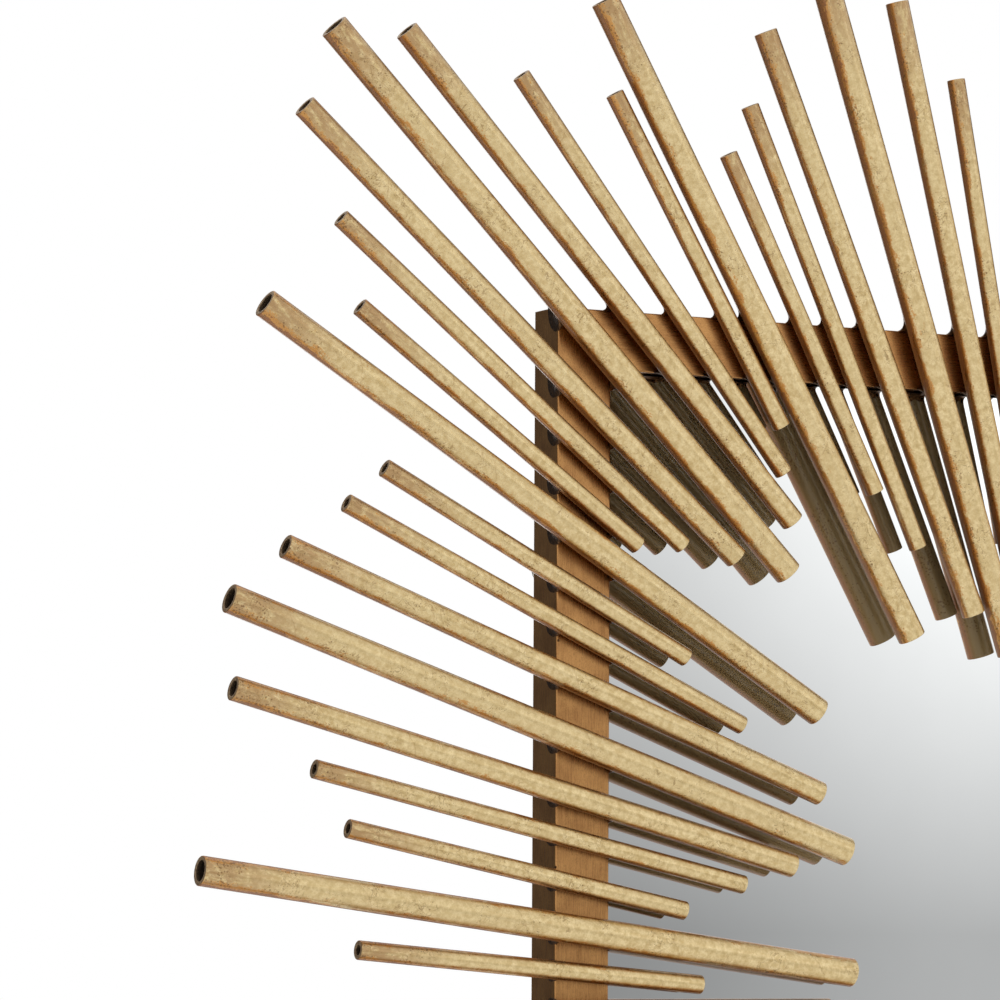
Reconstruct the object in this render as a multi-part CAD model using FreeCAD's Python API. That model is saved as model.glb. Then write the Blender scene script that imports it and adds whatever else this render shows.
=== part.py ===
"""Square sunburst wall mirror: gilded steel tubes welded across the front of a bronze tube frame.

Millimetres. X is to the right, Z is up and the front faces -Y. The origin is the centre of the
back panel's rear face, so the wall lies just behind Y = 0.
"""
import FreeCAD, Part
import math
import os

V = FreeCAD.Vector
FRONT = V(0, -1, 0)
UP = V(0, 0, 1)

# ---- frame of rectangular steel tube ----
FRAME_SIDE = 650.0          # outer height and width
RAIL_WIDTH = 30.0           # width of a rail's front face
RAIL_DEPTH = 25.0           # front to back
RAIL_WALL = 1.5
RAIL_CORNER_RADIUS = 1.2    # rounded edge of the drawn tube

# ---- sunburst tubes: diameter and cut length of each kind ----
LONG_DIAMETER = 14.6
LONG_LENGTH = 363.0
MEDIUM_DIAMETER = 12.2
MEDIUM_LENGTH = 320.0
THIN_DIAMETER = 9.5
SLIM_LENGTH = 244.0
SHORT_LENGTH = 190.0
TUBE_WALL = 1.2
TUBE_LIFT = 0.3             # weld metal between a tube and the face of its rail

# ---- how the tubes are laid on one side of the frame, from its first corner to its next ----
# Each row is the kind, the distance along the frame's outer edge, how far the tube leans towards
# the first corner in degrees, and how far its tip stands out past that edge. They are set by hand,
# so the spacing wanders a little. Distances and cut lengths are for a frame as wide as LAYOUT_SIDE.
LAYOUT_SIDE = 650.0
SIDE_LAYOUT = [
    ("long", 0, 45.0, 181), ("medium", 36, 41.0, 189), ("slim", 62, 38.5, 156),
    ("short", 87, 35.5, 137), ("long", 109, 31.5, 191), ("short", 136, 27.5, 110),
    ("slim", 158, 25.0, 130), ("medium", 183, 21.0, 161), ("long", 213, 19.0, 190),
    ("medium", 241, 15.0, 183), ("slim", 262, 13.0, 137), ("short", 284, 12.0, 118),
    ("long", 307, 8.0, 195), ("short", 328, 5.5, 110), ("long", 350, 0.5, 193),
    ("short", 372, -5.0, 116), ("slim", 393, -10.5, 136), ("medium", 413, -13.8, 176),
    ("long", 441, -18.3, 188), ("medium", 471, -23.2, 161), ("slim", 493, -24.5, 120),
    ("short", 512, -27.5, 94), ("long", 539, -30.0, 179), ("short", 556, -31.0, 127),
    ("slim", 584, -38.5, 145), ("medium", 615, -43.5, 179),
]
CLUSTER_STARTS = (1, 9, 15, 23)     # where each group of shorter tubes begins in the layout
SIDES = ("left", "bottom", "right", "top")

# ---- weld beads under the tubes ----
BEAD_LENGTH = 6.0           # along the tube
BEAD_TOE = 1.2              # how far the bead's foot shows on each side of the tube
BEAD_RISE = 0.45            # height of the bead, as a share of the tube's radius
BEAD_INSET = 5.0            # centre of the bead from the rail's edge, along the tube
BEAD_SHOULDER = 0.4         # flat left on each side of the hollow
BEAD_CLEARANCE = 0.05       # between the bead's hollow and the tube

# ---- mirror plate, its core and the back panel ----
GLASS_THICKNESS = 4.0
CORE_THICKNESS = 14.5
OPENING_CLEARANCE = 1.0     # round the plate and core inside the rails
PANEL_THICKNESS = 3.0
PANEL_INSET = 4.0           # the panel's edge from the frame's outer edge
PANEL_CORNER_RADIUS = 6.0

# ---- pan-head screws ----
SCREW_DIAMETER = 3.5
SCREW_LENGTH = 9.0          # under the head
SCREW_HEAD_DIAMETER = 7.2
SCREW_HEAD_HEIGHT = 2.2
SCREW_RECESS = 1.2          # depth of the cross recess
SCREW_RECESS_WIDTH = 0.9
SCREW_RECESS_SPAN = 3.6
SCREW_CLEARANCE = 0.05      # between the thread and its hole
SCREWS_PER_SIDE = 4
SCREW_FIRST = 60.0          # first and last panel screw from the frame's corner

# ---- ring hangers on the two side rails ----
HANGER_HEIGHT = 205.0       # the ring's pivot above the frame's centre
STRAP_WIDTH = 13.0
STRAP_LENGTH = 36.0         # below the pivot
STRAP_THICKNESS = 1.8       # the strip is folded double
STRAP_END_RADIUS = 5.0
STRAP_SCREW_DROP = 27.0     # the screw below the pivot
LOOP_WALL = 0.9
RING_WIRE = 3.0
RING_CLEARANCE = 0.2        # between the ring's bar and the strap's loop
RING_BAR = 20.0             # inside width of the ring
RING_LEG = 4.0              # straight leg before the round end
RING_REST_TILT = 3.5        # degrees that the hanging ring stands off the strap

# ---- rubber wall bumpers ----
BUMPER_DIAMETER = 14.0
BUMPER_THICKNESS = 6.5
BUMPER_EDGE_RADIUS = 1.5
BUMPER_INSET = 26.0         # bumper's centre from the frame's outer edges

TUBES = {
    "long": (LONG_DIAMETER, LONG_LENGTH),
    "medium": (MEDIUM_DIAMETER, MEDIUM_LENGTH),
    "slim": (THIN_DIAMETER, SLIM_LENGTH),
    "short": (THIN_DIAMETER, SHORT_LENGTH),
}
HALF_SIDE = FRAME_SIDE / 2
HALF_OPENING = HALF_SIDE - RAIL_WIDTH
FRAME_BACK_Y = -PANEL_THICKNESS
FRAME_FRONT_Y = FRAME_BACK_Y - RAIL_DEPTH
SCREW_LINE = HALF_SIDE - RAIL_WIDTH / 2         # centre line of each rail
LOOP_RADIUS = RING_WIRE / 2 + RING_CLEARANCE + LOOP_WALL
LAYOUT_SCALE = FRAME_SIDE / LAYOUT_SIDE


def box(low, high):
    """Box between two opposite corners."""
    return Part.makeBox(high.x - low.x, high.y - low.y, high.z - low.z, low)


def square_plate(half_side, front_y, back_y):
    """Square plate centred on the mirror."""
    return box(V(-half_side, front_y, -half_side), V(half_side, back_y, half_side))


def edges_along(shape, direction):
    """Straight edges that run parallel to a direction."""
    found = []
    for edge in shape.Edges:
        run = edge.valueAt(edge.LastParameter) - edge.valueAt(edge.FirstParameter)
        if abs(run.normalize().dot(direction)) > 0.999:
            found.append(edge)
    return found


def turn_to_side(shape, side):
    """Turns a copy of a left-hand piece round the mirror's centre to the side with that index."""
    turned = shape.copy()
    turned.rotate(V(0, 0, 0), V(0, 1, 0), -90 * side)
    return turned


def screw_places():
    """Panel screws on the left rail, as heights from the frame's centre."""
    reach = HALF_SIDE - SCREW_FIRST
    step = 2 * reach / (SCREWS_PER_SIDE - 1)
    return [V(-SCREW_LINE, 0, -reach + i * step) for i in range(SCREWS_PER_SIDE)]


def hanger_pivots():
    """Axis of each ring's hinge, where its bar runs through the strap's loop."""
    right = V(SCREW_LINE, LOOP_RADIUS, HANGER_HEIGHT)
    return {"left": V(-right.x, right.y, right.z), "right": right}


def hanger_screw_places():
    return [V(p.x, 0, p.z - STRAP_SCREW_DROP) for p in hanger_pivots().values()]


def screw_hole(place):
    """Hole that a screw's thread passes through, from the head's side well into the rail."""
    mouth = V(place.x, STRAP_THICKNESS, place.z)
    depth = SCREW_LENGTH + 2 * STRAP_THICKNESS
    return Part.makeCylinder(SCREW_DIAMETER / 2 + SCREW_CLEARANCE, depth, mouth, FRONT)


def all_panel_screw_holes():
    places = [screw_hole(p) for p in screw_places()]
    holes = [turn_to_side(hole, side) for side in range(4) for hole in places]
    return holes + [screw_hole(p) for p in hanger_screw_places()]


def frame_rails():
    """Four mitred lengths of rectangular tube. Each is a left rail turned to its side."""
    outer = box(V(-HALF_SIDE, FRAME_FRONT_Y, -HALF_SIDE), V(-HALF_OPENING, FRAME_BACK_Y, HALF_SIDE))
    outer = outer.makeFillet(RAIL_CORNER_RADIUS, edges_along(outer, UP))
    hollow = box(V(-HALF_SIDE + RAIL_WALL, FRAME_FRONT_Y + RAIL_WALL, -HALF_SIDE),
                 V(-HALF_OPENING - RAIL_WALL, FRAME_BACK_Y - RAIL_WALL, HALF_SIDE))
    mitre = Part.makePolygon([
        V(-HALF_SIDE, FRAME_FRONT_Y, -HALF_SIDE), V(-HALF_OPENING, FRAME_FRONT_Y, -HALF_OPENING),
        V(-HALF_OPENING, FRAME_FRONT_Y, HALF_OPENING), V(-HALF_SIDE, FRAME_FRONT_Y, HALF_SIDE),
        V(-HALF_SIDE, FRAME_FRONT_Y, -HALF_SIDE)])
    wedge = Part.Face(mitre).extrude(V(0, RAIL_DEPTH, 0))
    rail = outer.cut(hollow).common(wedge)
    holes = all_panel_screw_holes()
    return {f"frame_rail_{name}": turn_to_side(rail, side).cut(holes) for side, name in enumerate(SIDES)}


def laid_tubes():
    """Every sunburst tube as if on the left: side, place, kind, edge crossing, outward direction, reach."""
    for side in range(4):
        for place, (kind, along, lean, reach) in enumerate(SIDE_LAYOUT):
            angle = math.radians(lean)
            crossing = V(-HALF_SIDE, 0, HALF_SIDE - along * LAYOUT_SCALE)
            outward = V(-math.cos(angle), 0, math.sin(angle))
            yield side, place, kind, crossing, outward, reach * LAYOUT_SCALE


def tube(kind, crossing, outward, reach):
    """Open-ended round tube whose rear just clears the rail's face."""
    diameter, length = TUBES[kind]
    length *= LAYOUT_SCALE
    axis_y = FRAME_FRONT_Y - TUBE_LIFT - diameter / 2
    tip = crossing + outward * reach + V(0, axis_y, 0)
    outer = Part.makeCylinder(diameter / 2, length, tip, outward * -1)
    bore = Part.makeCylinder(diameter / 2 - TUBE_WALL, length, tip, outward * -1)
    return outer.cut(bore)


def sunburst():
    """Long tubes as one node each; the shorter tubes in the groups that lie between them."""
    nodes = {}
    longs = [0] * len(SIDES)
    for side, place, kind, crossing, outward, reach in laid_tubes():
        solid = turn_to_side(tube(kind, crossing, outward, reach), side)
        if kind == "long":
            longs[side] += 1
            nodes[f"long_rod_{SIDES[side]}_{longs[side]}"] = [solid]
        else:
            group = sum(place >= start for start in CLUSTER_STARTS)
            nodes.setdefault(f"rod_cluster_{SIDES[side]}_{group}", []).append(solid)
    return {name: Part.makeCompound(solids) for name, solids in nodes.items()}


def weld_bead(kind, crossing, outward, from_edge):
    """Bead of filler metal between one tube and the rail's face: a ridge hollowed to the tube's round."""
    radius = TUBES[kind][0] / 2
    rise = BEAD_RISE * radius
    foot = radius + BEAD_TOE
    shoulder = math.sqrt(radius ** 2 - (radius - rise) ** 2) + BEAD_SHOULDER
    across = outward.cross(FRONT)
    start = crossing - outward * (from_edge + BEAD_LENGTH / 2) + V(0, FRAME_FRONT_Y, 0)
    crest = TUBE_LIFT + rise
    profile = ((-foot, 0), (foot, 0), (shoulder, crest), (-shoulder, crest), (-foot, 0))
    section = Part.Face(Part.makePolygon([start + across * a + FRONT * b for a, b in profile]))
    ridge = section.extrude(outward * BEAD_LENGTH)
    centre = start + FRONT * (TUBE_LIFT + radius) - outward * BEAD_LENGTH
    return ridge.cut(Part.makeCylinder(radius + BEAD_CLEARANCE, 3 * BEAD_LENGTH, centre, outward))


def weld_beads():
    """Two beads under each tube, one near each edge of its rail."""
    slab_top = FRAME_FRONT_Y - LONG_DIAMETER
    opening = square_plate(HALF_OPENING, slab_top, FRAME_FRONT_Y)
    over_rails = square_plate(HALF_SIDE, slab_top, FRAME_FRONT_Y).cut(opening)
    beads = []
    for side, _, kind, crossing, outward, _ in laid_tubes():
        run = RAIL_WIDTH / abs(outward.x)
        for from_edge in (BEAD_INSET, run - BEAD_INSET):
            bead = weld_bead(kind, crossing, outward, from_edge).common(over_rails)
            beads.append(turn_to_side(bead, side))
    return {"weld_beads": Part.makeCompound(beads)}


def mirror_and_panel():
    """Mirror plate, the core board that it is bonded to, and the panel that closes the back."""
    core_front = FRAME_BACK_Y - CORE_THICKNESS
    half = HALF_OPENING - OPENING_CLEARANCE
    panel = square_plate(HALF_SIDE - PANEL_INSET, FRAME_BACK_Y, 0)
    panel = panel.makeFillet(PANEL_CORNER_RADIUS, edges_along(panel, FRONT))
    return {
        "mirror_glass": square_plate(half, core_front - GLASS_THICKNESS, core_front),
        "core_board": square_plate(half, core_front, FRAME_BACK_Y),
        "back_panel": panel.cut(all_panel_screw_holes()),
    }


def screw(place, seat_y):
    """Pan-head screw with a cross recess, driven towards the front from its seat."""
    seat = V(place.x, seat_y, place.z)
    head = Part.makeCylinder(SCREW_HEAD_DIAMETER / 2, SCREW_HEAD_HEIGHT, seat, FRONT * -1)
    top = seat + V(0, SCREW_HEAD_HEIGHT, 0)
    rim = [e for e in head.Edges if e.Closed and abs(e.BoundBox.YMin - top.y) < SCREW_CLEARANCE]
    head = head.makeFillet(SCREW_HEAD_HEIGHT / 2, rim)
    shank_length = SCREW_LENGTH - SCREW_DIAMETER
    shank = Part.makeCylinder(SCREW_DIAMETER / 2, shank_length, seat, FRONT)
    point = Part.makeCone(SCREW_DIAMETER / 2, 0, SCREW_DIAMETER, seat + FRONT * shank_length, FRONT)
    half_span, half_slot = SCREW_RECESS_SPAN / 2, SCREW_RECESS_WIDTH / 2
    floor = top - V(0, SCREW_RECESS, 0)
    arms = ((half_span, half_slot), (half_slot, half_span))
    slots = [box(floor + V(-a, 0, -b), top + V(a, 0, b)) for a, b in arms]
    return head.fuse([shank, point]).removeSplitter().cut(slots)


def screws():
    panel = [turn_to_side(screw(p, 0), side) for side in range(4) for p in screw_places()]
    hanger = [screw(p, STRAP_THICKNESS) for p in hanger_screw_places()]
    return {"panel_screws": Part.makeCompound(panel), "hanger_screws": Part.makeCompound(hanger)}


def hanger_strap(pivot):
    """Steel strip folded double, with the fold rolled into a loop round the ring's bar."""
    half = STRAP_WIDTH / 2
    plate = box(V(pivot.x - half, 0, pivot.z - STRAP_LENGTH), V(pivot.x + half, STRAP_THICKNESS, pivot.z))
    lower = [e for e in edges_along(plate, FRONT) if e.BoundBox.ZMin < pivot.z - STRAP_LENGTH / 2]
    plate = plate.makeFillet(STRAP_END_RADIUS, lower)
    left_end = V(pivot.x - half, pivot.y, pivot.z)
    loop = Part.makeCylinder(LOOP_RADIUS, STRAP_WIDTH, left_end, V(1, 0, 0))
    bore = Part.makeCylinder(LOOP_RADIUS - LOOP_WALL, STRAP_WIDTH, left_end, V(1, 0, 0))
    hole = screw_hole(V(pivot.x, 0, pivot.z - STRAP_SCREW_DROP))
    return plate.fuse(loop).cut([bore, hole])


def hanger_ring(pivot):
    """D-shaped wire ring, hanging from its straight bar and leaning a little off the strap."""
    half = (RING_BAR + RING_WIRE) / 2
    bend = RING_WIRE
    slant = bend * math.sqrt(0.5)
    knee = -bend - RING_LEG

    def at(x, z):
        return pivot + V(x, 0, z)

    path = Part.Wire([
        Part.LineSegment(at(-half + bend, 0), at(half - bend, 0)).toShape(),
        Part.Arc(at(half - bend, 0), at(half - bend + slant, slant - bend), at(half, -bend)).toShape(),
        Part.LineSegment(at(half, -bend), at(half, knee)).toShape(),
        Part.Arc(at(half, knee), at(0, knee - half), at(-half, knee)).toShape(),
        Part.LineSegment(at(-half, knee), at(-half, -bend)).toShape(),
        Part.Arc(at(-half, -bend), at(-half + bend - slant, slant - bend), at(-half + bend, 0)).toShape(),
    ])
    section = Part.Wire(Part.makeCircle(RING_WIRE / 2, at(-half + bend, 0), V(1, 0, 0)))
    ring = path.makePipeShell([section], True, True)
    ring.rotate(pivot, V(1, 0, 0), RING_REST_TILT)
    return ring


def hangers():
    nodes = {}
    for name, pivot in hanger_pivots().items():
        nodes[f"hanger_strap_{name}"] = hanger_strap(pivot)
        nodes[f"hanger_ring_{name}"] = hanger_ring(pivot)
    return nodes


def wall_bumpers():
    """Round rubber pads at the corners of the back panel."""
    offset = HALF_SIDE - BUMPER_INSET
    pads = []
    for x in (-offset, offset):
        for z in (-offset, offset):
            pad = Part.makeCylinder(BUMPER_DIAMETER / 2, BUMPER_THICKNESS, V(x, 0, z), FRONT * -1)
            rim = [e for e in pad.Edges if e.Closed and e.BoundBox.YMin > BUMPER_THICKNESS / 2]
            pads.append(pad.makeFillet(BUMPER_EDGE_RADIUS, rim))
    return {"wall_bumpers": Part.makeCompound(pads)}


def main():
    os.makedirs("parts", exist_ok=True)
    nodes = {**frame_rails(), **sunburst(), **weld_beads(), **mirror_and_panel()}
    nodes.update({**screws(), **hangers(), **wall_bumpers()})
    for name, shape in nodes.items():
        if not shape.isValid():
            raise ValueError(f"{name} is not a valid solid")
        shape.exportStep(f"parts/{name}.step")
    print(len(nodes), "nodes,", sum(len(s.Solids) for s in nodes.values()), "solids")


main()
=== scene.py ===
"""Looks of a square sunburst wall mirror: gilded tubes welded across a bronze tube frame.

Metres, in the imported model's frame: X to the right, Z up, and the mirror faces -Y.
"""
import math
from collections import namedtuple
from functools import reduce
from types import SimpleNamespace

import bmesh
import bpy
import numpy as np
from mathutils import Matrix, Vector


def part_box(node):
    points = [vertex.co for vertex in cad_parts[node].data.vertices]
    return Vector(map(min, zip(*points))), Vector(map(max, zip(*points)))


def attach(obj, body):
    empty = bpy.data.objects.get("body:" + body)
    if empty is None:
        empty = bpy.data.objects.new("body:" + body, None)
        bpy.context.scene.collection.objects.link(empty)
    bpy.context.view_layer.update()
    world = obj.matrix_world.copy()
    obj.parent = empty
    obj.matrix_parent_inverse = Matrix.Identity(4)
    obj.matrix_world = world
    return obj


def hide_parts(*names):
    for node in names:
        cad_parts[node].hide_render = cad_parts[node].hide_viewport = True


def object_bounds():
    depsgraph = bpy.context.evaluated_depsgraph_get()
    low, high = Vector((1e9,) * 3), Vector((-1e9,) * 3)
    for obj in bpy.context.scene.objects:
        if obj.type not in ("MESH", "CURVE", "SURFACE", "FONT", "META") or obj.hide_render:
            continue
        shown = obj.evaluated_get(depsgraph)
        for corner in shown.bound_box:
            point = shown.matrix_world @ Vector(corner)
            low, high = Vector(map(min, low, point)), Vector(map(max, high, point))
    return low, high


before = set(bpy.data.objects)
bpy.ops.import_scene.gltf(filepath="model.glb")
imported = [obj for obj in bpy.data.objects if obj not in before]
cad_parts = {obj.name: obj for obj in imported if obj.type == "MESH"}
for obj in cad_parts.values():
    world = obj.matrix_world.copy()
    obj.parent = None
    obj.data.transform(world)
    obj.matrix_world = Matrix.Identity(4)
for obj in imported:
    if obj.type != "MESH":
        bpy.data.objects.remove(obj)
cad_low, cad_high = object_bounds()

MM = 0.001
SIDES = {"left": (-1, 0), "bottom": (0, -1), "right": (1, 0), "top": (0, 1)}   # outward, as X and Z
FRONT = np.array([0.0, -1.0, 0.0])
SMOOTH = {"interpolation_type": "SMOOTHSTEP"}       # setting of a ramp that eases in and out

# ---- gilded tubes ----
AROUND = 64                 # points round a tube
RIM_ROUND = 0.45 * MM       # rolled outer edge of a cut end
BORE_ROUND = 0.25 * MM
LIP = 1.0 * MM              # burr that the tube cutter rolled into the bore
SKIN = 0.03 * MM            # how far a tube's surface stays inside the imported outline
ARC_STEPS = 5

# ---- leaf on the tubes, in millimetres ----
LEAF_LENGTH = 85.0          # one leaf, along a tube
LEAF_DRAW = 0.38            # scale along the tube of the pattern that the torn border follows
PINHOLE_PITCH = 1.15        # between places where a pinhole may be
TUBE_PITCH = 31.0           # between two tubes' places in the leaf pattern, so that none repeats

# ---- welds ----
FLARE_WIDTH = 0.32          # how far a fillet reaches along the rail's edge from its tube, in tube radii
FLARE_HEIGHT = 1.15         # how far it runs up the tube from the rail, in tube radii
FLARE_DEPTH = 9.5 * MM      # how far it reaches down the rail's side, behind the tube
FLARE_START = 1.5 * MM      # how far behind the rail's front face it begins
FLARE_TURN = math.radians(68)      # how far it runs round each side of the tube, from its back
INNER_FLARE = 0.55          # size of a fillet on a rail's inner edge, where the glass leaves little room
ROOT = 0.4 * MM             # depth that a fillet sinks into the metal it joins
WELD_STEPS = 30
SPATTER_RADIUS = 0.62 * MM
SPATTER_EVERY = 5           # tubes from one ball of spatter to the next

# ---- frame ----
RAIL_CORNER = 0.6 * MM      # edge of the drawn rectangular tube

# ---- camera and studio ----
CAMERA_PLACE = (-1.3216, -1.9033, 0.0582)
CAMERA_TURN = math.radians(-27.223)     # from facing +Y, to the left
CAMERA_TILT = math.radians(4.584)       # upwards
CAMERA_ROLL = math.radians(-0.359)
SENSOR = 36.0
LENS = 154.8
ROOM_LIGHT = 0.95           # brightness of the room that the metal mirrors; white is 1
STRIP_LIGHT = 1.1           # added by the strip on the right
SCREEN_LIGHT = 2.2          # added by the screen behind
FLOOR_DROP = 30 * MM        # from the mirror down to the floor
FLOOR_HALF = 10.0           # half the floor's side

Tube = namedtuple("Tube", "tip outward radius bore length side number")


# ---------------------------------------------------------------- helpers

def linear(hex_code):
    """Linear RGBA of an sRGB hex colour."""
    s = np.array([int(hex_code[i:i + 2], 16) for i in (1, 3, 5)]) / 255
    return (*np.where(s <= 0.04045, s / 12.92, ((s + 0.055) / 1.055) ** 2.4), 1.0)


def feed(tree, socket, value):
    """Gives a socket its value: a constant, or the output that it is linked to."""
    if isinstance(value, bpy.types.NodeSocket):
        tree.links.new(value, socket)
    else:
        socket.default_value = value


def add(tree, kind, inputs=(), output=0, **settings):
    """Adds a node and returns one of its outputs. inputs holds the values of its first sockets in order,
    or pairs a socket's name or number with its value."""
    node = tree.nodes.new("ShaderNode" + kind)
    for name, value in settings.items():
        setattr(node, name, value)
    for key, value in inputs.items() if isinstance(inputs, dict) else enumerate(inputs):
        feed(tree, node.inputs[key], value)
    return node.outputs[output]


def glaze(tree, ground, *coats):
    """Colour of a ground under thin coats. Each coat is how much it covers, from 0 to 1, and its colour."""
    tone = linear(ground)
    for cover, colour in coats:
        tone = add(tree, "Mix", {0: cover, 6: tone, 7: linear(colour)}, output=2, data_type="RGBA")
    return tone


def overlap(tree, *ramps):
    """Product of smooth ramps. Each is a value, where along it the ramp leaves 0, and where it reaches 1."""
    steps = [add(tree, "MapRange", ramp, **SMOOTH) for ramp in ramps]
    return reduce(lambda a, b: add(tree, "Math", (a, b), operation="MULTIPLY"), steps)


def new_material(name):
    """A material, its node tree and its Principled shader."""
    material = bpy.data.materials.new(name)
    material.use_nodes = True
    return material, material.node_tree, material.node_tree.nodes["Principled BSDF"]


def finish_shader(tree, shader, **sockets):
    """Sets the shader's sockets, written with _ for each space."""
    for name, value in sockets.items():
        feed(tree, shader.inputs[name.replace("_", " ")], value)


def object_place(tree, scale=(1000.0, 1000.0, 1000.0)):
    """Object coordinates in millimetres. A smaller scale along an axis draws the pattern out along it."""
    place = add(tree, "TexCoord", output="Object")
    return add(tree, "Mapping", {"Vector": place, "Scale": scale})


# ---------------------------------------------------------------- materials

def leaf_fields(tree, place):
    """Random fields from 0 to 1 that the leaf is made of, by name. Each row is where it is read, the size
    of its features in millimetres, its detail and its roughness."""
    drawn = add(tree, "Mapping", {"Vector": place, "Scale": (1.0, 1.0, LEAF_DRAW)})
    rows = {
        "cloud": (place, 3.2, 5.0, 0.62),
        "torn": (drawn, 2.6, 5.0, 0.68),
        "grain": (place, 0.9, 3.0, 0.60),
        "patches": (place, 17.0, 2.0, 0.55),
        "streaks": (drawn, 9.0, 2.0, 0.55),
        "drift": (place, 60.0, 1.0, 0.55),
    }
    return SimpleNamespace(**{
        name: add(tree, "TexNoise", {"Vector": where, "Scale": 1 / size, "Detail": detail,
                                     "Roughness": rough})
        for name, (where, size, detail, rough) in rows.items()})


def leaf_cover_and_flank_shade(tree, field, facing, from_tip):
    """How well leaf covers the bole: over 1 on a tube's front and under 0 on its back, so that every tube's
    flanks, seen from the front, go darker: painted flank shade, with the ragged border as wear. The border
    wanders in drawn-out tongues, torn at a finer scale, and comes forward near the tip."""
    wander = 0.0
    for noise, share in ((field.torn, 1.15), (field.streaks, 0.75), (field.grain, 0.55)):
        centred = add(tree, "Math", (noise, 0.5), operation="SUBTRACT")
        wander = add(tree, "Math", (centred, share, wander), operation="MULTIPLY_ADD")
    whole = add(tree, "Math", (facing, wander), operation="ADD")
    tip_wear = add(tree, "MapRange", (from_tip, 70.0, 0.0, 0.0, 0.17), **SMOOTH)
    return add(tree, "Math", (whole, tip_wear), operation="SUBTRACT")


def leaf_pinholes(tree, field, place, cover, from_tip):
    """Pinholes about half a millimetre across, more of them in patches, near the flanks and near the tip."""
    cell = add(tree, "TexVoronoi", {"Vector": place, "Scale": 1 / PINHOLE_PITCH, "Randomness": 1.0})
    chance = add(tree, "SeparateColor", {"Color": cell.node.outputs["Color"]})
    crowd = 0.05
    for value, none, most, share in ((field.patches, 0.42, 0.66, 0.42), (cover, 0.95, 0.45, 0.50),
                                     (from_tip, 55.0, 5.0, 0.22)):
        more = add(tree, "MapRange", (value, none, most), **SMOOTH)
        crowd = add(tree, "Math", (more, share, crowd), operation="MULTIPLY_ADD")
    size = add(tree, "Math", (crowd, chance), operation="SUBTRACT")
    size = add(tree, "Math", (size, 0.62), operation="MULTIPLY")
    outside = add(tree, "Math", (cell.node.outputs["Distance"], size), operation="SUBTRACT")
    return add(tree, "MapRange", (outside, 0.06, -0.12), **SMOOTH)


def leaf_wrinkles(tree, field, place):
    """Wrinkles of the leaf: thin squiggles where a noise crosses its middle, only in some places."""
    fold = add(tree, "TexNoise", {"Vector": place, "Scale": 1 / 4.2, "Detail": 2.5, "Distortion": 0.8})
    fold = add(tree, "Math", (fold, 0.5), operation="SUBTRACT")
    fold = add(tree, "Math", (fold,), operation="ABSOLUTE")
    return overlap(tree, (fold, 0.022, 0.004), (field.patches, 0.46, 0.60))


def leaf_seams(tree, field, place):
    """Laps between leaves: a slightly skewed, broken line each leaf's length along the tube."""
    _, skew, along = add(tree, "SeparateXYZ", (place,)).node.outputs
    lap = add(tree, "Math", (skew, 0.8, along), operation="MULTIPLY_ADD")
    ragged = add(tree, "Math", (field.cloud, 0.5), operation="SUBTRACT")
    lap = add(tree, "Math", (ragged, 5.0, lap), operation="MULTIPLY_ADD")
    lap = add(tree, "Math", (lap, LEAF_LENGTH / 2), operation="PINGPONG")
    return overlap(tree, (lap, 0.55, 0.1), (field.grain, 0.35, 0.6))


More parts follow.
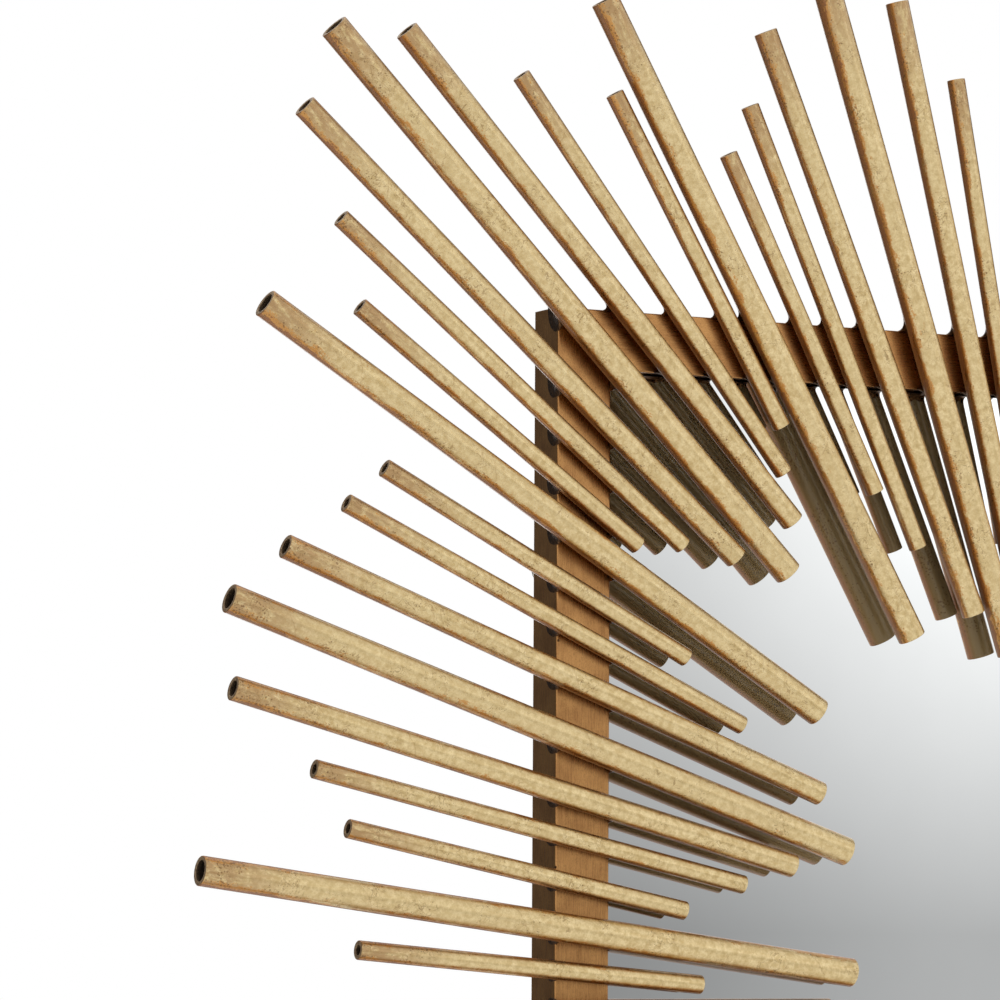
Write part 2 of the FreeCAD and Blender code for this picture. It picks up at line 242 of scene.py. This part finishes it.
def gold_leaf():
    """Imitation gold leaf over red-brown bole on steel tube, rubbed back and lacquered.

    The front of a tube is pale and satin, with faint wrinkles and pinholes. Towards the flanks, seen from the
    front, the leaf is thin and
    ragged and the bole shows: the torn border is wear, the darkening of every flank is painted shade. The
    back is toned olive-brown as painted shade.
    """
    material, tree, shader = new_material("gold_leaf_over_bole")
    place = add(tree, "Attribute", output="Vector", attribute_name="leaf")
    facing = add(tree, "Attribute", output="Fac", attribute_name="facing")
    from_tip = add(tree, "Attribute", output="Fac", attribute_name="from_tip")
    field = leaf_fields(tree, place)
    cover = leaf_cover_and_flank_shade(tree, field, facing, from_tip)
    pinholes = leaf_pinholes(tree, field, place, cover, from_tip)
    # bole showing towards the flanks: its torn border is wear, its place on every flank is painted shade
    bole_and_flank_shade = add(tree, "MapRange", (cover, 0.33, 0.22), **SMOOTH)
    worn_tip = overlap(tree, (from_tip, 60.0, 0.0), (field.torn, 0.32, 0.56))
    tone = glaze(
        tree, "#ccb27b",
        (add(tree, "MapRange", (field.cloud, 0.30, 0.70), **SMOOTH), "#eed8a5"),
        (add(tree, "MapRange", (field.drift, 0.35, 0.65, 0.0, 0.35), **SMOOTH), "#dac492"),
        (add(tree, "MapRange", (field.grain, 0.60, 0.30, 0.0, 0.35), **SMOOTH), "#bd9a62"),
        (add(tree, "Math", (worn_tip, 0.85), operation="MULTIPLY"), "#ad875a"),
        (add(tree, "MapRange", (cover, 0.64, 0.44), **SMOOTH), "#c8924f"),      # thin leaf, partly painted flank shade
        (bole_and_flank_shade, "#986437"),                                                      # bole showing, partly painted flank shade
        (add(tree, "MapRange", (facing, -0.10, -0.65, 0.0, 0.8), **SMOOTH), "#a08a5e"),     # painted shade: the back, seen in the glass, toned olive-brown as leaf in shadow
        (add(tree, "Math", (leaf_wrinkles(tree, field, place), 0.6), operation="MULTIPLY"), "#8f6f42"),
        (add(tree, "Math", (leaf_seams(tree, field, place), 0.45), operation="MULTIPLY"), "#9a733d"),
        (add(tree, "Math", (pinholes, 0.7), operation="MULTIPLY"), "#7a5833"))

    dull = add(tree, "Math", (field.grain, 0.14, 0.33), operation="MULTIPLY_ADD")
    dull = add(tree, "Math", (bole_and_flank_shade, 0.16, dull), operation="MULTIPLY_ADD")
    height = 0.0
    for part, share in ((field.cloud, 0.5), (field.grain, 0.3), (pinholes, -0.35), (bole_and_flank_shade, -0.25)):
        height = add(tree, "Math", (part, share, height), operation="MULTIPLY_ADD")
    finish_shader(tree, shader, Base_Color=tone, Roughness=dull,
                  Normal=add(tree, "Bump", {"Height": height, "Distance": 0.09 * MM}),
                  Metallic=add(tree, "Math", (bole_and_flank_shade, -0.35, 1.0), operation="MULTIPLY_ADD"),
                  Coat_Weight=0.5, Coat_Roughness=0.08)
    return material


def raw_bore():
    """Bare drawn steel on a tube's cut rim, with a little gold overspray, and darker inside the bore as
    painted shade.
    """
    material, tree, shader = new_material("steel_bore_with_painted_shade")
    from_tip = add(tree, "Attribute", output="Fac", attribute_name="from_tip")
    scale = add(tree, "TexNoise", {"Vector": object_place(tree), "Scale": 1 / 1.6, "Detail": 4.0,
                                   "Roughness": 0.55})
    # painted shade: the bore turns dark from about a millimetre inside the rim
    tone = glaze(tree, "#7d6650",
                 (add(tree, "MapRange", (scale, 0.35, 0.7), **SMOOTH), "#a8906f"),
                 (add(tree, "MapRange", (from_tip, 0.8, 3.0), **SMOOTH), "#3d3227"))
    finish_shader(tree, shader, Base_Color=tone, Metallic=0.6, Roughness=0.5,
                  Normal=add(tree, "Bump", {"Height": scale, "Distance": 0.05 * MM}))
    return material


def weld_paint():
    """Bronze lacquer over a weld bead: rippled filler metal. Painted shade: toned near black, far darker than
    the rails, and darker still in its hollows.
    """
    material, tree, shader = new_material("bronze_weld_with_painted_shade")
    ripple = add(tree, "TexNoise", {"Vector": object_place(tree), "Scale": 1 / 1.4, "Detail": 3.0,
                                    "Roughness": 0.55})
    # painted shade: near-black tone, darker where the ripple is low
    tone = glaze(tree, "#4a3320", (add(tree, "MapRange", (ripple, 0.40, 0.75), **SMOOTH), "#7c5735"))
    finish_shader(tree, shader, Base_Color=tone, Metallic=1.0, Roughness=0.36,
                  Normal=add(tree, "Bump", {"Height": ripple, "Distance": 0.12 * MM}))
    return material


def bronze_paint(name, along):
    """Metallic bronze lacquer on a rail: satin, streaked along the rail by the brush, with darker clouds."""
    material, tree, shader = new_material(name)
    streaked = object_place(tree, tuple(60.0 if axis == along else 1000.0 for axis in "XYZ"))
    place = object_place(tree)
    streak, cloud, fleck = (
        add(tree, "TexNoise", {"Vector": where, "Scale": 1 / size, "Detail": detail, "Roughness": rough})
        for where, size, detail, rough in ((streaked, 0.8, 3.0, 0.55), (place, 14.0, 4.0, 0.6),
                                           (place, 0.9, 3.0, 0.7)))
    tone = glaze(tree, "#a07245",
                 (add(tree, "MapRange", (cloud, 0.3, 0.7), **SMOOTH), "#c08f58"),
                 (add(tree, "MapRange", (streak, 0.35, 0.68, 0.0, 0.4), **SMOOTH), "#cf9a62"),
                 (add(tree, "MapRange", (fleck, 0.45, 0.70, 0.0, 0.4), **SMOOTH), "#7d5634"))
    height = add(tree, "Math", (fleck, 0.5), operation="MULTIPLY")
    height = add(tree, "Math", (streak, 0.3, height), operation="MULTIPLY_ADD")
    finish_shader(tree, shader, Base_Color=tone, Metallic=1.0,
                  Roughness=add(tree, "Math", (streak, 0.12, 0.22), operation="MULTIPLY_ADD"),
                  Normal=add(tree, "Bump", {"Height": height, "Distance": 0.018 * MM}))
    return material


def silvered_glass():
    """Silvered float glass: a clean mirror with the faintest haze."""
    material, tree, shader = new_material("silvered_float_glass")
    haze = add(tree, "TexNoise", {"Vector": object_place(tree), "Scale": 1 / 45.0, "Detail": 2.0,
                                  "Roughness": 0.55})
    finish_shader(tree, shader, Base_Color=glaze(tree, "#eceeee", (haze, "#f2f4f4")), Metallic=1.0,
                  Roughness=add(tree, "MapRange", (haze, 0.3, 0.7, 0.004, 0.016), **SMOOTH))
    return material


def fibreboard(name, dark, light, roughness):
    """Pressed wood fibre: short random fibres about half a millimetre thick and a cloudy tone."""
    material, tree, shader = new_material(name)
    place = object_place(tree)
    fibre = add(tree, "TexNoise", {"Vector": place, "Scale": 1 / 0.9, "Detail": 4.0, "Roughness": 0.7,
                                   "Distortion": 1.5})
    cloud = add(tree, "TexNoise", {"Vector": place, "Scale": 1 / 30.0, "Detail": 3.0, "Roughness": 0.55})
    tone = glaze(tree, dark, (fibre, light),
                 (add(tree, "MapRange", (cloud, 0.3, 0.7, 0.0, 0.3), **SMOOTH), dark))
    finish_shader(tree, shader, Base_Color=tone, Roughness=roughness,
                  Normal=add(tree, "Bump", {"Height": fibre, "Distance": 0.08 * MM}))
    return material


def plated_steel(name, bright, dull):
    """Bright-plated steel pressing: fine rolling lines and a few dull spots."""
    material, tree, shader = new_material(name)
    drawn = object_place(tree, (1000.0, 1000.0, 90.0))
    lines = add(tree, "TexNoise", {"Vector": drawn, "Scale": 1 / 0.25, "Detail": 2.0, "Roughness": 0.55})
    spots = add(tree, "TexNoise", {"Vector": object_place(tree), "Scale": 1 / 4.0, "Detail": 3.0,
                                   "Roughness": 0.55})
    tone = glaze(tree, bright, (add(tree, "MapRange", (spots, 0.5, 0.8, 0.0, 0.5), **SMOOTH), dull))
    finish_shader(tree, shader, Base_Color=tone, Metallic=1.0,
                  Roughness=add(tree, "Math", (lines, 0.2, 0.18), operation="MULTIPLY_ADD"),
                  Normal=add(tree, "Bump", {"Height": lines, "Distance": 0.01 * MM}))
    return material


def moulded_rubber():
    """Moulded rubber pad: near black, matt, with a fine eggshell skin and a little dust."""
    material, tree, shader = new_material("moulded_rubber")
    place = object_place(tree)
    skin = add(tree, "TexNoise", {"Vector": place, "Scale": 1 / 0.5, "Detail": 2.0, "Roughness": 0.55})
    dust = add(tree, "TexNoise", {"Vector": place, "Scale": 1 / 3.0, "Detail": 4.0, "Roughness": 0.55})
    tone = glaze(tree, "#1c1b1a", (add(tree, "MapRange", (dust, 0.5, 0.8, 0.0, 0.6), **SMOOTH), "#4a4744"))
    finish_shader(tree, shader, Base_Color=tone, Roughness=0.72,
                  Normal=add(tree, "Bump", {"Height": skin, "Distance": 0.04 * MM}))
    return material


# ---------------------------------------------------------------- reading the frame

def solids_of(node):
    """Distinct corner points of each separate solid in a CAD node."""
    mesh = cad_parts[node].data
    corners = np.empty(len(mesh.vertices) * 3, np.float32)
    mesh.vertices.foreach_get("co", corners)
    points, place = np.unique(np.round(corners.reshape(-1, 3).astype(float), 6), axis=0, return_inverse=True)
    triangles = np.empty(len(mesh.loops), np.int32)
    mesh.loops.foreach_get("vertex_index", triangles)
    triangles = place.ravel()[triangles].reshape(-1, 3)
    label = np.arange(len(points))
    while True:
        lowest = label[triangles].min(axis=1)
        merged = label.copy()
        np.minimum.at(merged, triangles.ravel(), np.repeat(lowest, 3))
        merged = merged[merged]
        if (merged == label).all():
            return [points[label == first] for first in np.unique(label)]
        label = merged


def measure_tube(points, side, number):
    """Axis, ends and radii of a straight tube, from the corner points of its CAD solid."""
    centre = points.mean(axis=0)
    outward = np.linalg.svd(points - centre, full_matrices=False)[2][0]
    outward *= np.sign(outward[0] * SIDES[side][0] + outward[2] * SIDES[side][1])
    along = (points - centre) @ outward
    off_axis = np.linalg.norm(points - centre - np.outer(along, outward), axis=1)
    tip = centre + along.max() * outward
    return Tube(tip, outward, off_axis.max() - SKIN, off_axis.min(), along.max() - along.min(), side, number)


def sunburst_tubes():
    """The tubes of each sunburst node, by node name."""
    tubes = {}
    number = 0
    for node in sorted(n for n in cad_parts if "_rod_" in n or "rod_cluster" in n):
        side = next(s for s in SIDES if f"_{s}_" in node)
        tubes[node] = []
        for points in solids_of(node):
            tubes[node].append(measure_tube(points, side, number))
            number += 1
    return tubes


# ---------------------------------------------------------------- surfaces

def grid_quads(rows, columns, close_rows=False):
    """Faces of a grid of points whose columns wrap round, numbered row by row."""
    row, column = np.meshgrid(np.arange(rows if close_rows else rows - 1), np.arange(columns), indexing="ij")
    next_row, next_column = (row + 1) % rows, (column + 1) % columns
    corners = [row * columns + column, row * columns + next_column,
               next_row * columns + next_column, next_row * columns + column]
    return np.stack(corners, axis=-1).reshape(-1, 4)


def capped(sections):
    """Closed shell through sections of equal loops: array of section, point, XYZ. Each end is a fan."""
    rows, columns, _ = sections.shape
    points = np.vstack([sections.reshape(-1, 3), sections[0].mean(axis=0), sections[-1].mean(axis=0)])
    first = np.arange(columns)
    after = (first + 1) % columns
    last = (rows - 1) * columns
    near = np.stack([after, first, np.full(columns, rows * columns)], axis=1)
    far = np.stack([last + first, last + after, np.full(columns, rows * columns + 1)], axis=1)
    return points, grid_quads(rows, columns).tolist() + near.tolist() + far.tolist()


def joined(shells):
    """One list of points and faces from several shells."""
    points, faces, offset = [], [], 0
    for some_points, some_faces in shells:
        points.append(some_points)
        faces += [[i + offset for i in face] for face in some_faces]
        offset += len(some_points)
    return np.vstack(points), faces


def make_piece(name, points, faces, body, slot, materials):
    """Smooth mesh object that rides on a body."""
    mesh = bpy.data.meshes.new(name)
    mesh.from_pydata(points.tolist(), [], faces)
    shell = bmesh.new()
    shell.from_mesh(mesh)
    bmesh.ops.recalc_face_normals(shell, faces=shell.faces)
    shell.to_mesh(mesh)
    shell.free()
    mesh.shade_smooth()
    for material in materials:
        mesh.materials.append(material)
    piece = bpy.data.objects.new(name, mesh)
    bpy.context.scene.collection.objects.link(piece)
    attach(piece, body)
    return piece


def store(mesh, name, values):
    """Keeps one number or one vector at each point, for the material to read."""
    kind, field = ("FLOAT_VECTOR", "vector") if values.ndim == 2 else ("FLOAT", "value")
    mesh.attributes.new(name, kind, "POINT").data.foreach_set(field, values.astype(np.float32).ravel())


def across(tube):
    """Unit vector across a tube, in the plane of the mirror."""
    return np.cross(tube.outward, FRONT)


def end_arc(radius, along, corner, start):
    """Quarter circle on a tube's profile, as (radius, along) pairs: centre, size of corner, first angle."""
    angle = start + np.linspace(0, math.pi / 2, ARC_STEPS)
    return np.stack([radius + corner * np.cos(angle), along + corner * np.sin(angle)], axis=1)


def tube_profile(tube):
    """Closed outline of a tube's wall: outer wall, rolled rim, bore and rolled rim, each wall with a
    support point beside its rim. Along is measured from the tip towards the middle."""
    length, outer, bore = tube.length, tube.radius, tube.bore
    support, mouth = 3 * RIM_ROUND, bore - LIP
    gilded = np.vstack([
        end_arc(outer - RIM_ROUND, length - RIM_ROUND, RIM_ROUND, 0)[::-1],
        [(outer, length - support), (outer, support)],
        end_arc(outer - RIM_ROUND, RIM_ROUND, RIM_ROUND, -math.pi / 2)[::-1],
    ])
    raw = np.vstack([
        end_arc(mouth + BORE_ROUND, BORE_ROUND, BORE_ROUND, math.pi)[::-1],
        [(bore, support), (bore, 2 * support), (bore, length - 2 * support), (bore, length - support)],
        end_arc(mouth + BORE_ROUND, length - BORE_ROUND, BORE_ROUND, math.pi / 2)[::-1],
    ])
    return gilded, raw


def tube_surface(tube):
    """Surface of revolution, its mapping and its facing, by row of the profile and angle round the tube:
    point = tip - along * outward + radius * (cos(angle) * front + sin(angle) * across)."""
    gilded, raw = tube_profile(tube)
    profile = np.vstack([gilded, raw])
    angle = np.arange(AROUND) * 2 * math.pi / AROUND
    ring = np.outer(np.cos(angle), FRONT) + np.outer(np.sin(angle), across(tube))
    points = tube.tip - profile[:, None, 1:] * tube.outward + profile[:, None, :1] * ring
    quads = grid_quads(len(profile), AROUND, close_rows=True)[:, ::-1]
    is_raw = np.repeat(np.arange(len(profile)) >= len(gilded) - 1, AROUND)
    radius, along = np.repeat(profile, AROUND, axis=0).T
    turn = np.tile(angle, len(profile))
    row, column = divmod(tube.number, 10)
    leaf = np.stack([radius * np.cos(turn) / MM + row * TUBE_PITCH,
                     radius * np.sin(turn) / MM + column * TUBE_PITCH, along / MM], axis=1)
    return points.reshape(-1, 3), quads, is_raw, leaf, np.cos(turn), along / MM


def gild_tubes(node, tubes, materials):
    """One piece for the tubes of a node. Each point keeps its place on the leaf, how far it faces the front
    and its distance from the tip in millimetres."""
    points, quads, is_raw, leaf, facing, from_tip = zip(*(tube_surface(t) for t in tubes))
    sizes = np.cumsum([0] + [len(p) for p in points[:-1]])
    faces = np.vstack([q + offset for q, offset in zip(quads, sizes)])
    piece = make_piece(f"gilded_{node}", np.vstack(points), faces.tolist(), "mirror", "gilded_tube",
                       materials)
    store(piece.data, "leaf", np.vstack(leaf))
    store(piece.data, "facing", np.concatenate(facing))
    store(piece.data, "from_tip", np.concatenate(from_tip))
    piece.data.polygons.foreach_set("material_index", np.concatenate(is_raw).astype(np.int32))
    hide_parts(node)


def rail_edges(side):
    """Distances of a rail's outer and inner edge from the middle, and the height of its front face."""
    low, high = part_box(f"frame_rail_{side}")
    x, z = SIDES[side]
    reach = sorted(abs(a * x + b * z) for a, b in ((low.x, low.z), (high.x, high.z)))
    return reach[1], reach[0], low.y


def crossing(tube, distance, radius_across):
    """How far from a tube's tip, inwards, each line along it meets the plane of a rail's edge."""
    normal = np.array([SIDES[tube.side][0], 0, SIDES[tube.side][1]])
    start = tube.tip @ normal + radius_across * (across(tube) @ normal)
    return (start - distance) / (tube.outward @ normal)


def edge_fillet(tube, distance, face_y, away):
    """Weld fillet round the back of a tube where it leaves an edge of its rail.

    For each place s from -1 to 1 round the tube's back, the section is a quadratic Bezier from the tube
    to the rail's side, with its middle point in the corner between them; it shrinks to nothing at s = -1
    and 1. away is 1 on the rail's outer edge and -1 on its inner one.
    """
    s = np.linspace(-1, 1, WELD_STEPS)
    size = 0.04 + 0.96 * np.sqrt(1 - s ** 8)
    uneven = 1 + 0.13 * np.sin(5 * s + 1.9 * tube.number) + 0.07 * np.sin(13 * s + tube.number)
    turn = FLARE_TURN * s
    to_face = face_y - tube.tip[1]

    def place(sideways, depth, climb):
        """Points from how far they lie across the tube, behind its axis, and up it from the edge."""
        along = crossing(tube, distance, sideways) - away * climb
        return (tube.tip - along[:, None] * tube.outward
                + sideways[:, None] * across(tube) - depth[:, None] * FRONT)

    corner_x, corner_y = tube.radius * np.sin(turn), tube.radius * np.cos(turn)
    share = 1 if away > 0 else INNER_FLARE
    foot_x = (math.sin(FLARE_TURN) + share * FLARE_WIDTH * uneven) * tube.radius * np.sin(s * math.pi / 2)
    foot_y = to_face + FLARE_START + share * FLARE_DEPTH * np.cos(s * math.pi / 2)
    foot_x, foot_y = corner_x + size * (foot_x - corner_x), corner_y + size * (foot_y - corner_y)
    climb = share * FLARE_HEIGHT * tube.radius * size * uneven
    inner = 1 - ROOT / tube.radius
    flat, sunk = np.zeros_like(s), np.full_like(s, -ROOT)
    top, corner = place(corner_x, corner_y, climb), place(corner_x, corner_y, flat)
    foot = place(foot_x, foot_y, flat)
    hollow = [(1 - t) ** 2 * top + 2 * t * (1 - t) * corner + t ** 2 * foot for t in np.linspace(0, 1, 8)]
    roots = [place(foot_x, foot_y, sunk), place(inner * corner_x, inner * corner_y, sunk),
             place(inner * corner_x, inner * corner_y, climb)]
    return capped(np.stack(hollow + roots, axis=1))


def spatter(tube, distance, face_y):
    """A bead of weld spatter beside a tube on its rail: a small ball sunk a little into the face. Its side
    and its distances from the tube and from the rail's edge follow from the tube's number."""
    shift = tube.radius + (1.5 + 1.1 * math.sin(tube.number * 2.4)) * MM
    sideways = shift * (1 if tube.number % 2 else -1)
    along = crossing(tube, distance, sideways) + 1.4 * MM * (1 + math.sin(tube.number))
    centre = tube.tip - along * tube.outward + sideways * across(tube)
    centre[1] = face_y - 0.4 * SPATTER_RADIUS
    polar = np.linspace(0.05, math.pi - 0.05, 7)
    around = np.arange(10) * 2 * math.pi / 10
    ball = np.stack([np.outer(np.sin(polar), np.cos(around)), np.outer(np.sin(polar), np.sin(around)),
                     np.outer(-np.cos(polar), np.ones(10))], axis=-1)
    return capped(centre + SPATTER_RADIUS * ball)


def rail_corner(q, y, start):
    """Quarter circle round (q, y), anticlockwise, with a support point beyond each end, so that the faces
    between the corners shade flat."""
    arc = end_arc(q, y, RAIL_CORNER, start)
    lead, tail = (RAIL_CORNER * np.array([-math.sin(a), math.cos(a)]) for a in (start, start + math.pi / 2))
    return np.vstack([arc[0] - lead, arc, arc[-1] + tail])


def rail_shell(side):
    """Mitred length of rectangular tube, closed at its mitres: a point of the section at distance q from
    the mirror's middle runs along the rail from -q to q."""
    outer, inner, front = np.array(rail_edges(side)) + np.array([-1, 1, 1]) * RAIL_CORNER
    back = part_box(f"frame_rail_{side}")[1].y - RAIL_CORNER
    section = np.vstack([rail_corner(outer, front, -math.pi / 2), rail_corner(outer, back, 0),
                         rail_corner(inner, back, math.pi / 2), rail_corner(inner, front, math.pi)])
    q, y = section[:, :1], section[:, 1:]
    outward = np.array([SIDES[side][0], 0, SIDES[side][1]])
    ends = [-q, RAIL_CORNER - q, q - RAIL_CORNER, q]
    return capped(np.stack([q * outward + end * np.cross(outward, FRONT) - y * FRONT for end in ends]))


def weld_up(all_tubes, material):
    """The fillets and spatter of every joint between a tube and its rail, as one piece."""
    shells = []
    for tube in all_tubes:
        outer, inner, face_y = rail_edges(tube.side)
        shells += [edge_fillet(tube, outer, face_y, 1), edge_fillet(tube, inner, face_y, -1)]
        if tube.number % SPATTER_EVERY == 0:
            shells.append(spatter(tube, outer, face_y))
    piece = make_piece("weld_fillets", *joined(shells), "mirror", "weld_metal", [material])
    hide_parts("weld_beads")


def dress(node, material):
    """Gives a CAD node its finish."""
    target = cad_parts[node]
    target.data.materials.clear()
    target.data.materials.append(material)


# ---------------------------------------------------------------- the mirror

tubes_by_node = sunburst_tubes()
leaf_and_bore = [gold_leaf(), raw_bore()]
for node_name, node_tubes in tubes_by_node.items():
    gild_tubes(node_name, node_tubes, leaf_and_bore)
weld_up([tube for some in tubes_by_node.values() for tube in some], weld_paint())

upright = bronze_paint("bronze_lacquer_upright", "Z")
level = bronze_paint("bronze_lacquer_level", "X")
for side_name in SIDES:
    finish = upright if side_name in ("left", "right") else level
    rail = make_piece(f"rail_{side_name}", *rail_shell(side_name), "mirror", "bronze_frame", [finish])
    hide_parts(f"frame_rail_{side_name}")
dress("mirror_glass", silvered_glass())
dress("core_board", fibreboard("raw_fibreboard", "#8f7350", "#b5976c", 0.85))
dress("back_panel", fibreboard("dyed_hardboard", "#1b1815", "#37302a", 0.6))
zinc = plated_steel("zinc_plated_steel", "#b9b39c", "#95907d")
nickel = plated_steel("nickel_plated_steel", "#c9c6bf", "#a2a09a")
for node_name in ("panel_screws", "hanger_screws"):
    dress(node_name, zinc)
for node_name in ("hanger_strap_left", "hanger_strap_right", "hanger_ring_left", "hanger_ring_right"):
    dress(node_name, nickel)
dress("wall_bumpers", moulded_rubber())


# ---------------------------------------------------------------- studio

def pale_floor():
    """Plain pale floor, a little below the mirror."""
    material, tree, shader = new_material("pale_studio_floor")
    cloud = add(tree, "TexNoise", {"Vector": object_place(tree), "Scale": 1 / 400.0, "Detail": 3.0,
                                   "Roughness": 0.55})
    finish_shader(tree, shader, Base_Color=glaze(tree, "#dcdbd8", (cloud, "#e6e5e2")), Roughness=0.8)
    half, z = FLOOR_HALF, cad_low.z - FLOOR_DROP
    mesh = bpy.data.meshes.new("floor")
    corners = [(-half, -half, z), (half, -half, z), (half, half, z), (-half, half, z)]
    mesh.from_pydata(corners, [], [(0, 1, 2, 3)])
    mesh.materials.append(material)
    floor = bpy.data.objects.new("floor", mesh)
    bpy.context.scene.collection.objects.link(floor)
    floor.visible_glossy = False        # the studio world has its own ground for the metal to mirror


def studio_world():
    """White backdrop to the eye. What lights the mirror is a soft white room: bright in front, above and
    below, dark behind, with a brighter strip on the right and a bright screen a little right of the back.
    In front on the right stands a grey wall, paler upwards and to the right, which the glass reflects.
    Directions are unit vectors, so each ramp's limits are shares of one."""
    world = bpy.data.worlds.new("soft_white_studio")
    bpy.context.scene.world = world
    world.use_nodes = True
    tree = world.node_tree
    tree.nodes.clear()
    way = add(tree, "TexCoord", output="Generated")
    x, y, z = add(tree, "SeparateXYZ", (way,)).node.outputs

    wall = overlap(tree, (x, 0.30, 0.42), (x, 0.70, 0.58), (z, -0.30, -0.12), (z, 0.36, 0.24), (y, 0.0, -0.3))
    paler_up = add(tree, "MapRange", (z, -0.02, 0.17, 0.30, 1.17))
    paler_right = add(tree, "MapRange", (x, 0.47, 0.56, 1.0, 1.7), **SMOOTH)
    shade = add(tree, "Math", (paler_up, paler_right), operation="MULTIPLY")
    room = add(tree, "Mix", {0: wall, 2: ROOM_LIGHT, 3: shade})

    dusk = add(tree, "MapRange", (x, -0.15, -0.40, 0.05, 0.15), **SMOOTH)
    lit = add(tree, "MapRange", (y, 0.24, -0.10, dusk, 1.0), **SMOOTH)
    ceiling = overlap(tree, (z, 0.35, 0.60), (y, 0.92, 0.70))
    ground = overlap(tree, (z, -0.22, -0.45), (y, 0.84, 0.66))
    for part in (ceiling, ground):
        lit = add(tree, "Math", (lit, part), operation="MAXIMUM")
    room = add(tree, "Math", (room, lit), operation="MULTIPLY")

    strip = overlap(tree, (x, 0.86, 0.93), (y, -0.12, 0.02), (y, 0.34, 0.22))
    screen = overlap(tree, (x, -0.04, 0.12), (x, 0.42, 0.32), (y, 0.80, 0.90))
    for lamp, brightness in ((strip, STRIP_LIGHT), (screen, SCREEN_LIGHT)):
        room = add(tree, "Math", (lamp, brightness, room), operation="MULTIPLY_ADD")

    room = add(tree, "Background", {"Strength": room, "Color": linear("#ffffff")})
    backdrop = add(tree, "Background", {"Strength": 1.0, "Color": linear("#ffffff")})
    seen = add(tree, "LightPath", output="Is Camera Ray")
    shown = add(tree, "MixShader", (seen, room, backdrop))
    feed(tree, tree.nodes.new("ShaderNodeOutputWorld").inputs["Surface"], shown)


def softbox(name, place, target, size, watts):
    """Square area light turned from its place towards a target."""
    light = bpy.data.lights.new(name, "AREA")
    light.size = size
    light.energy = watts
    lamp = bpy.data.objects.new(name, light)
    bpy.context.scene.collection.objects.link(lamp)
    away = np.array(place) - np.array(target)
    away /= np.linalg.norm(away)
    side = np.cross((0, 0, 1), away)
    side /= np.linalg.norm(side)
    turn = np.stack([side, np.cross(away, side), away], axis=1)
    lamp.matrix_world = Matrix.Translation(place) @ Matrix(turn.tolist()).to_4x4()
    lamp.visible_camera = lamp.visible_glossy = False


def place_camera():
    """Camera turned about Z, then tilted, then rolled, from facing +Y."""
    data = bpy.data.cameras.new("camera")
    data.sensor_width = SENSOR
    data.lens = LENS
    data.clip_end = 50
    camera = bpy.data.objects.new("camera", data)
    bpy.context.scene.collection.objects.link(camera)
    to_y = Matrix.Rotation(math.pi / 2, 4, "X")
    turn = Matrix.Rotation(CAMERA_TURN, 4, "Z")
    tilt = Matrix.Rotation(CAMERA_TILT, 4, "X")
    roll = Matrix.Rotation(CAMERA_ROLL, 4, "Y")
    camera.matrix_world = Matrix.Translation(CAMERA_PLACE) @ turn @ tilt @ roll @ to_y
    bpy.context.scene.camera = camera


pale_floor()
studio_world()
softbox("key", place=(1.5, -1.9, 1.9), target=(0.0, 0.0, 0.0), size=3.0, watts=2.5)
softbox("floor_light", place=(0.3, -1.2, 2.6), target=(0.0, -1.0, -0.5), size=3.0, watts=75)
place_camera()
bpy.context.scene.view_settings.view_transform = "Standard"
